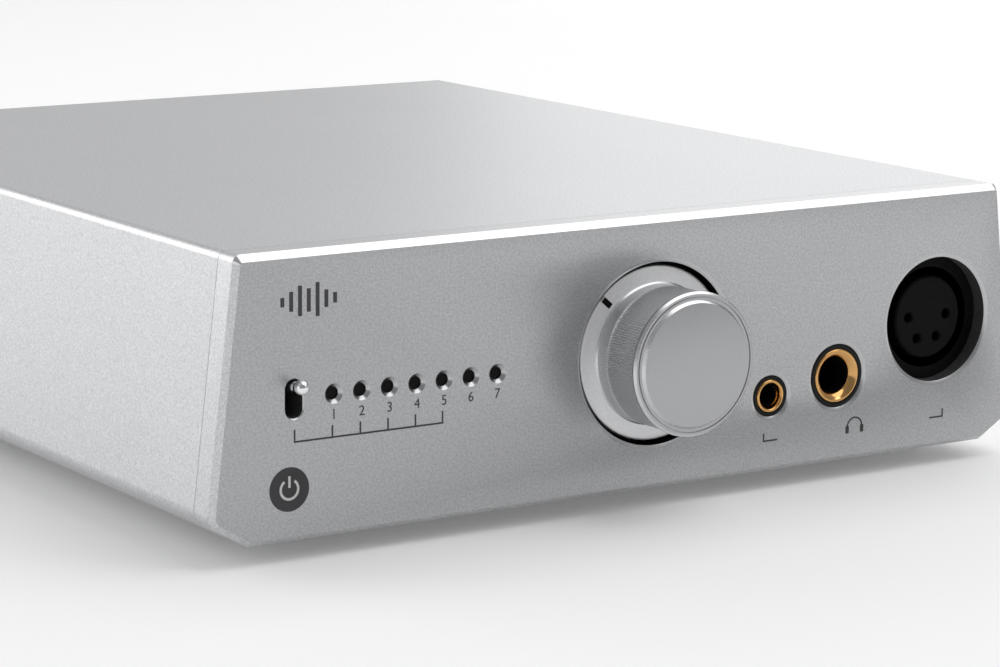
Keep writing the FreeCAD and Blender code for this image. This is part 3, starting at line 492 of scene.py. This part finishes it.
def case_ring(depth, top=0.0, side=0.0, bottom=0.0, steps=10):
    """The case's outline at a depth, moved inwards at its top, sides and underside."""
    sloped = side * math.hypot(1, UNDERSIDE_SLOPE)
    foot = TOP_HALF_WIDTH + CASE_HEIGHT * SIDE_LEAN - side * math.hypot(1, SIDE_LEAN)
    corner_z = ((foot - BOTTOM_HALF_WIDTH) * UNDERSIDE_SLOPE + sloped) / (1 + SIDE_LEAN * UNDERSIDE_SLOPE)
    radii = [max(r - i, 0.4) for r, i in zip(CORNER_RADII, (top, side, bottom))]
    half = [
        (foot - SIDE_LEAN * (CASE_HEIGHT - top), CASE_HEIGHT - top, radii[0]),
        (foot - SIDE_LEAN * corner_z, corner_z, radii[1]),
        (BOTTOM_HALF_WIDTH + (bottom - sloped) / UNDERSIDE_SLOPE, bottom, radii[2]),
    ]
    corners = half + [(-x, z, radius) for x, z, radius in reversed(half)]
    points = [Vector((x, z)) for x, z, _ in corners]
    ring = []
    for i, (_, _, radius) in enumerate(corners):
        before = (points[i - 1] - points[i]).normalized()
        after = (points[(i + 1) % len(points)] - points[i]).normalized()
        half_angle = before.angle(after) / 2
        centre = points[i] + (before + after).normalized() * radius / math.sin(half_angle)
        start = points[i] + before * radius / math.tan(half_angle) - centre
        sweep = -(math.pi - 2 * half_angle)
        for k in range(steps + 1):
            point = centre + Matrix.Rotation(sweep * k / steps, 2) @ start
            ring.append((point.x, depth, point.y + FLOOR_OF_CASE))
    return ring


def hole_chain(x, z, radius, width=HOLE_BEVEL, depth=HOLE_BEVEL_DEPTH):
    """Round hole through the front panel, with a bevel of this width and depth; the bevel takes a darker copy
    of the bright-cut metal as painted shade.
    """
    rings = [circle(x, z, radius + width, 0), circle(x, z, radius, depth), circle(x, z, radius, PANEL_DEPTH)]
    return list(zip(rings, (SHADED_CUT, PANEL, PANEL)))


def light_places():
    """x of each indicator hole."""
    low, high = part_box("light_pipes")
    margin, count = 2.2, 7
    first, last = low.x / MM + margin, high.x / MM - margin
    return [first + (last - first) * i / (count - 1) for i in range(count)]


def build_front_panel(materials):
    """Front panel with a bright-cut top edge, the knob's recess and the bevelled holes."""
    outer = [
        (case_ring(0, TOP_BEVEL, SIDE_BEVEL, SIDE_BEVEL), BRIGHT),
        (case_ring(TOP_BEVEL), CASE_TONE),
        (case_ring(PANEL_DEPTH), CASE_TONE),
    ]
    knob_x, knob_z = centre_of("volume_knob")
    recess, bush, floor = 16.8, 3.6, 4.0
    # The recess wall and floor take the black socket plastic: painted shade in the gap round the knob.
    steps = [
        (recess + HOLE_BEVEL, 0, SHADED_CUT), (recess, HOLE_BEVEL_DEPTH, RECESS_SHADE), (recess, floor, RECESS_SHADE),
        (bush, floor, PANEL), (bush, PANEL_DEPTH, PANEL)]
    holes = [[(circle(knob_x, knob_z, radius, depth, 160), index) for radius, depth, index in steps]]
    for node, radius in (("large_jack_collar", 6.05), ("small_jack_collar", 3.9), ("balanced_insert", 12.0)):
        holes.append(hole_chain(*centre_of(node), radius))
    light_z = centre_of("light_pipes")[1]
    light_radius, countersink = 1.15, 0.6
    for x in light_places():
        holes.append(hole_chain(x, light_z, light_radius, countersink, countersink))
    pin_x, pin_z = centre_of("toggle_pin")
    width, height, slot_bevel = 3.35, 6.75, 0.2
    holes.append([
        (stadium(pin_x, pin_z, width + 2 * slot_bevel, height + 2 * slot_bevel, 0), SHADED_CUT),
        (stadium(pin_x, pin_z, width, height, slot_bevel), PANEL),
        (stadium(pin_x, pin_z, width, height, PANEL_DEPTH), PANEL)])
    vertices, faces = pierced_plate(outer, holes)
    edge_count = 2 * len(outer[0][0])
    case_tone_below = CASE_HEIGHT + FLOOR_OF_CASE - 2 * TOP_BEVEL
    for i, (indices, index) in enumerate(faces):
        if index == BRIGHT and max(indices) < edge_count and vertices[indices[0]][2] < case_tone_below:
            faces[i] = (indices, CASE_TONE)
    surfaces = [materials[name] for name in PANEL_SURFACES]
    piece = build("panel_plate", vertices, faces, surfaces, "chassis")
    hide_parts("front_panel")


# Volume knob

KNURL_COUNT = 168
KNURL_STEPS = 6
KNURL_DEPTH = 0.3
BARREL_RADIUS = 12.8
GRIP_NEAR, GRIP_FAR = -10.15, -2.1     # depths where the knurled band starts and ends
GRIP_FADE = 0.3

# The third surface is the lighter copy of the knob's aluminium, on the skirt and barrel: painted light.
KNOB_SURFACES = ("knob_aluminium", "bright_cut", "knob_painted_light")
TURNED, RING, PAINTED_LIGHT = range(len(KNOB_SURFACES))


def knurled(turn, radius, depth):
    """Radius of the barrel with its straight knurl, which fades out at both ends of the grip."""
    if radius != BARREL_RADIUS or not GRIP_NEAR <= depth <= GRIP_FAR:
        return radius
    ridge = abs(2 * ((turn * KNURL_COUNT / (2 * math.pi)) % 1.0) - 1)
    fade = min(min(GRIP_FAR - depth, depth - GRIP_NEAR) / GRIP_FADE, 1)
    return radius - KNURL_DEPTH * ridge * fade


def build_knob(materials):
    """Sloping skirt, knurled barrel, and a crown with two bright-cut rings round a flat disc."""
    near, far = depth_range("volume_knob")
    cavity, cavity_depth = 7.0, -1.5
    skirt, rim_depth, base, line_radius = 16.05, 1.3, 0.6, 13.12
    crown, crown_back = 13.1, near + 1.5
    disc, step = 11.1, near + 0.6
    edge, edge_depth = skirt - 0.4, rim_depth - 0.05
    # The back, skirt and barrel take the lighter copy, which is painted light; the crown and disc take the
    # knob's own tone.
    profile = [
        (cavity, cavity_depth, PAINTED_LIGHT), (cavity, far, PAINTED_LIGHT), (skirt, far, PAINTED_LIGHT),
        (skirt, rim_depth + 0.3, PAINTED_LIGHT), (skirt - 0.05, rim_depth + 0.14, PAINTED_LIGHT),
        (skirt - 0.16, rim_depth + 0.03, PAINTED_LIGHT), (edge, edge_depth, PAINTED_LIGHT)]
    slope_steps, slope_dish = 8, 0.05
    for i in range(1, slope_steps):
        t = i / slope_steps
        depth = edge_depth + (base + 0.05 - edge_depth) * t + slope_dish * math.sin(math.pi * t)
        profile.append((edge + (line_radius - edge) * t, depth, PAINTED_LIGHT))
    profile += [
        (line_radius, base + 0.05, RING), (BARREL_RADIUS + 0.02, base - 0.25, PAINTED_LIGHT),
        (BARREL_RADIUS, base - 0.35, PAINTED_LIGHT)]
    rows = 14
    full_far, full_near = GRIP_FAR - GRIP_FADE, GRIP_NEAR + GRIP_FADE
    grip = [full_far + (full_near - full_far) * i / rows for i in range(rows + 1)]
    profile += [(BARREL_RADIUS, depth, PAINTED_LIGHT) for depth in [GRIP_FAR] + grip + [GRIP_NEAR]]
    profile += [
        (BARREL_RADIUS, crown_back + 0.06, PAINTED_LIGHT), (BARREL_RADIUS + 0.06, crown_back, TURNED),
        (crown - 0.08, crown_back, TURNED), (crown, crown_back - 0.08, TURNED),
        (crown, step + 0.42, RING), (crown - 0.4, step, TURNED),
        (disc + 1.22, step, TURNED), (disc + 1.18, step + 0.2, TURNED),
        (disc + 1.02, step + 0.2, TURNED), (disc + 0.98, step, TURNED),
        (disc + 0.5, step, RING), (disc + 0.05, near + 0.03, TURNED),
        (disc - 0.08, near, TURNED), (0.9, near, TURNED)]
    segments = KNURL_COUNT * KNURL_STEPS
    vertices, faces = turned(*centre_of("volume_knob"), profile, segments, False, knurled)
    surfaces = [materials[name] for name in KNOB_SURFACES]
    piece = build("knob_body", vertices, faces, surfaces, "knob", 28.0)
    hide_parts("volume_knob")


def turned_piece(name, node, profile, surfaces):
    """Turned piece of the chassis that stands for a CAD node and is centred on it."""
    vertices, faces = turned(*centre_of(node), profile, 128)
    piece = build(name, vertices, faces, surfaces, "chassis")
    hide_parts(node)


# Headphone sockets

def build_jack(prefix, lip, bore, materials):
    """Black collar with a rolled edge, and a polished gold funnel inside it."""
    collar_node, funnel_node = prefix + "_collar", prefix + "_funnel"
    far = depth_range(collar_node)[1]
    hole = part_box(collar_node)[1].x / MM - centre_of(collar_node)[0]
    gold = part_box(funnel_node)[1].x / MM - centre_of(funnel_node)[0]
    collar = [
        (gold, far), (gold, 0.5), (gold + 0.08, 0.34), (gold + 0.22, 0.27), (gold + 0.4, 0.25),
        (hole - 0.3, 0.25), (hole - 0.12, 0.3), (hole - 0.03, 0.4), (hole, 0.55), (hole, far)]
    turned_piece(prefix + "_ring", collar_node, collar, [materials["collar_plastic"]])
    funnel = [
        (gold, far), (gold, 0.4), (gold - 0.06, 0.24), (gold - 0.18, 0.13), (gold - 0.32, 0.1),
        (gold - 0.46, 0.13)]
    rim, rim_depth, lip_depth, swell, steps = gold - 0.58, 0.2, 1.0, 0.10, 6
    for i in range(steps + 1):
        t = i / steps
        depth = rim_depth + (lip_depth - rim_depth) * t - swell * math.sin(math.pi * t)
        funnel.append((rim + (lip - rim) * t, depth))
    funnel += [(lip - 0.1, 1.15, 1), (bore, 1.8, 1), (bore, far)]
    surfaces = [materials["gold_plate"], materials["socket_black_and_recess_shade"]]
    turned_piece(prefix + "_cone", funnel_node, funnel, surfaces)


CONTACT_CIRCLE = 4.62
CONTACT_TURNS = (31.0, 93.0)
CONTACT_BORE = 0.95


def build_balanced_insert(materials):
    """Contact block with a bevelled rim and four countersunk contact holes."""
    x, z = centre_of("balanced_insert")
    near, far = depth_range("balanced_insert")
    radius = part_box("balanced_insert")[1].x / MM - x
    rim_bevel, countersink = 0.35, 0.25
    outer = [
        (circle(x, z, radius - rim_bevel, near), 0), (circle(x, z, radius, near + rim_bevel), 0),
        (circle(x, z, radius, far), 0)]
    holes = []
    for turn in CONTACT_TURNS:
        for side in (-1, 1):
            t = math.radians(side * turn)
            cx, cz = x + CONTACT_CIRCLE * math.sin(t), z - CONTACT_CIRCLE * math.cos(t)
            steps = [
                (CONTACT_BORE + countersink, near), (CONTACT_BORE, near + countersink), (CONTACT_BORE, far)]
            holes.append([(circle(cx, cz, bore, depth, 40), 0) for bore, depth in steps])
    vertices, faces = pierced_plate(outer, holes)
    block = build("contact_block", vertices, faces, [materials["socket_black_and_recess_shade"]], "chassis")
    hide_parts("balanced_insert")


# Input lever

def build_lever(materials):
    """Chrome bat with a ball end, tilted up about its pivot."""
    pin_x, pivot_z = centre_of("toggle_pin")
    pivot_depth = sum(depth_range("toggle_pin")) / 2
    tilt, reach, tip, neck = math.radians(9.5), 16.0, 1.33, 1.02
    tip_depth = pivot_depth - reach + tip
    joint = math.asin(neck / tip)
    centre, tail, shank, stem = 0.02, 3.9, 0.8, 0.85
    profile = [
        (centre, pivot_depth + tail), (shank - 0.05, pivot_depth + tail), (shank, pivot_depth + tail - 0.3)]
    ball, steps = 1.9, 16
    start, end = math.asin(shank / ball), math.pi - math.asin(stem / ball)
    for i in range(steps + 1):
        t = start + (end - start) * i / steps
        profile.append((ball * math.sin(t), pivot_depth + ball * math.cos(t)))
    profile += [
        (0.88, pivot_depth - 3.0), (1.1, pivot_depth - 11.4),
        (1.08, tip_depth + tip * math.cos(joint) + 0.5)]
    for i in range(steps):
        t = joint + (math.pi - joint) * i / steps
        profile.append((tip * math.sin(t), tip_depth + tip * math.cos(t)))
    profile.append((centre, tip_depth - tip))
    vertices, faces = turned(pin_x, pivot_z, profile, 64, False)
    tilted = []
    for x, depth, z in vertices:
        back, up = depth - pivot_depth, z - pivot_z
        tilted.append((
            x, pivot_depth + back * math.cos(tilt) + up * math.sin(tilt),
            pivot_z + up * math.cos(tilt) - back * math.sin(tilt)))
    piece = build("lever_bat", tilted, faces, [materials["chrome"]], "lever", 60.0)
    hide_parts("toggle_lever")


# Printed marks: thin raised ink

INK = 0.03


class Marks:
    """Ink shapes on a face, gathered into one mesh. place(across, up, height of the ink) gives a vertex."""

    def __init__(self, place):
        self.place = place
        self.vertices = []
        self.faces = []

    def outline(self, points, triangles):
        """Flat shape from points and triangles, with a wall round its open edges."""
        start = len(self.vertices)
        count = len(points)
        for height in (INK, 0.0):
            self.vertices += [self.place(u, v, height) for u, v in points]
        edges = set()
        for triangle in triangles:
            self.faces.append((tuple(start + i for i in triangle), 0))
            self.faces.append((tuple(start + count + i for i in reversed(triangle)), 0))
            for i, j in zip(triangle, triangle[1:] + triangle[:1]):
                if (j, i) in edges:
                    edges.remove((j, i))
                else:
                    edges.add((i, j))
        for i, j in edges:
            self.faces.append(((start + i, start + j, start + count + j, start + count + i), 0))

    def line(self, points, width, closed=False):
        """Line of even width through the points."""
        count = len(points)
        left, right = [], []
        for i in range(count):
            here = Vector(points[i])
            arriving = (here - Vector(points[i - 1])).normalized()
            leaving = (Vector(points[(i + 1) % count]) - here).normalized()
            if not closed and i == 0:
                arriving = leaving
            if not closed and i == count - 1:
                leaving = arriving
            along = (arriving + leaving).normalized()
            offset = Vector((-along.y, along.x)) * width / 2 / along.dot(arriving)
            left.append(here + offset)
            right.append(here - offset)
        triangles = []
        for i in range(count if closed else count - 1):
            j = (i + 1) % count
            triangles += [(i, count + i, count + j), (i, count + j, j)]
        self.outline([tuple(p) for p in left + right], triangles)

    def arc(self, u, v, radius, width, start=0.0, end=360.0, steps=40):
        """Line of even width round (u, v), from one angle to another in degrees."""
        turns = [math.radians(start + (end - start) * i / steps) for i in range(steps + 1)]
        points = [(u + radius * math.cos(t), v + radius * math.sin(t)) for t in turns]
        closed = end - start >= 360.0
        self.line(points[:-1] if closed else points, width, closed)

    def disc(self, u, v, radius, steps=96):
        """Filled disc."""
        turns = [2 * math.pi * i / steps for i in range(steps)]
        rim = [(u + radius * math.cos(t), v + radius * math.sin(t)) for t in turns]
        self.outline([(u, v)] + rim, [(0, 1 + i, 1 + (i + 1) % steps) for i in range(steps)])

    def text(self, words, u, v, height):
        """Numbers in the plain built-in font, centred on (u, v)."""
        data = bpy.data.curves.new("numbers", "FONT")
        data.body = words
        holder = bpy.data.objects.new("numbers", data)
        mesh = bpy.data.meshes.new_from_object(holder)
        xs = [vertex.co.x for vertex in mesh.vertices]
        ys = [vertex.co.y for vertex in mesh.vertices]
        scale = height / (max(ys) - min(ys))
        middle = ((max(xs) + min(xs)) / 2, (max(ys) + min(ys)) / 2)
        points = [(u + (c.co.x - middle[0]) * scale, v + (c.co.y - middle[1]) * scale) for c in mesh.vertices]
        mesh.calc_loop_triangles()
        self.outline(points, [tuple(t.vertices) for t in mesh.loop_triangles])
        bpy.data.objects.remove(holder)
        bpy.data.curves.remove(data)
        bpy.data.meshes.remove(mesh)

    def finish(self, name, material, body, slot):
        """The gathered shapes as one piece."""
        return build(name, self.vertices, self.faces, [material], body)


def print_front(materials):
    """Numbers and a bracket under the lights, marks under the sockets, a row of bars and a badge."""
    def place(u, v, lift):
        return (u, -lift, v + FLOOR_OF_CASE)

    marks = Marks(place)
    line = 0.32
    lights = light_places()
    lever_x = centre_of("toggle_pin")[0]
    number_z, number_height = 21.35, 1.75
    for i, x in enumerate(lights):
        marks.text(str(i + 1), x, number_z, number_height)
    bracket_z, tick_top, tick_shift = 17.33, 19.43, 0.3
    ticks = [x - tick_shift for x in lights[:5]]
    marks.line([(lever_x, tick_top), (lever_x, bracket_z), (ticks[4], bracket_z), (ticks[4], tick_top)], line)
    for x in ticks[:4]:
        marks.line([(x, bracket_z + line / 2), (x, tick_top)], line)
    jack_left, jack_right, corner_z, corner_top, corner_run = 27.45, 70.55, 5.9, 7.4, 3.2
    for x, side in ((jack_left, 1), (jack_right, -1)):
        marks.line([(x, corner_top), (x, corner_z), (x + side * corner_run, corner_z)], line)
    phones_x, phones_z, band, cup_width = (jack_left + jack_right) / 2, 6.3, 1.75, 0.8
    marks.arc(phones_x, phones_z, band, line, 0.0, 180.0)
    for side in (-1, 1):
        cup_x = phones_x + side * band
        marks.line([(cup_x, phones_z + 0.2), (cup_x, phones_z - 1.2)], cup_width)
    level_x, level_z, level_pitch, level_width = -69.4, 41.4, 1.7, 0.75
    for i, height in enumerate((1.6, 3.4, 5.2, 4.0, 5.8, 3.0, 1.8)):
        x = level_x + level_pitch * (i - 3)
        marks.line([(x, level_z - height / 2), (x, level_z + height / 2)], level_width)
    badge_x, badge_z, badge = -73.3, 9.25, 3.85
    marks.disc(badge_x, badge_z, badge)
    marks.finish("front_prints", materials["grey_print"], "chassis", "black_paint")

    def on_badge(u, v, lift):
        return place(u, v, lift + INK)

    symbol = Marks(on_badge)
    glyph, glyph_line = 1.7, 0.45
    symbol.arc(badge_x, badge_z, glyph, glyph_line, 125.0, 415.0, 48)
    symbol.line([(badge_x, badge_z + 0.3), (badge_x, badge_z + glyph + 0.6)], glyph_line)
    symbol.finish("power_symbol", materials["pale_print"], "chassis", "white_plastic")


def print_rear(materials):
    """A number beside each rear socket."""
    rear = depth_range("rear_panel")[1]

    def place(u, v, lift):
        return (u, rear + lift, v)

    class Mirrored(Marks):
        """Marks whose numbers read the right way round from behind."""

        def text(self, words, u, v, height):
            start = len(self.vertices)
            super().text(words, u, v, height)
            self.vertices[start:] = [(2 * u - x, depth, z) for x, depth, z in self.vertices[start:]]

    marks = Mirrored(place)
    height, gap = 2.4, 2.6
    low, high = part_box("rca_barrels")
    beside, inset = 2.8, 5.8
    marks.text("1", low.x / MM - beside, high.z / MM - inset, height)
    marks.text("2", low.x / MM - beside, low.z / MM + inset, height)
    marks.text("3", high.x / MM - inset, high.z / MM + gap, height)
    sockets = ("optical_socket", "usb_socket", "balanced_out_left", "balanced_out_right")
    for number, node in enumerate(sockets, 4):
        marks.text(str(number), centre_of(node)[0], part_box(node)[1].z / MM + gap, height)
    marks.finish("rear_prints", materials["grey_print"], "chassis", "black_paint")


def mark_rocker(materials):
    """On and off marks on the two halves of the rocker's face."""
    x, z = centre_of("power_rocker")
    trunnion_depth = PANEL_DEPTH + 193.5
    valley, swing = 2.4, math.radians(10.0)     # trunnion to the face's middle, and the tilt of each half
    mark_height, mark_radius, line = 4.3, 1.4, 0.5

    def place(u, v, lift):
        out = valley + abs(v) * math.tan(swing) + lift
        return (
            x - u, trunnion_depth + out * math.cos(swing) - v * math.sin(swing),
            z + v * math.cos(swing) + out * math.sin(swing))

    marks = Marks(place)
    marks.line([(0.0, mark_height - mark_radius), (0.0, mark_height + mark_radius)], line)
    marks.arc(0.0, -mark_height, mark_radius, line)
    marks.finish("rocker_marks", materials["pale_print"], "rocker", "white_plastic")


place_camera()
build_surround()
build_floor()
place_lights()
materials = make_materials()
dress_cad_nodes(materials)
build_front_panel(materials)
build_knob(materials)
build_jack("large_jack", 3.5, 3.25, materials)     # lip and bore radius
build_jack("small_jack", 2.2, 1.8, materials)
build_balanced_insert(materials)
build_lever(materials)
print_front(materials)
print_rear(materials)
mark_rocker(materials)
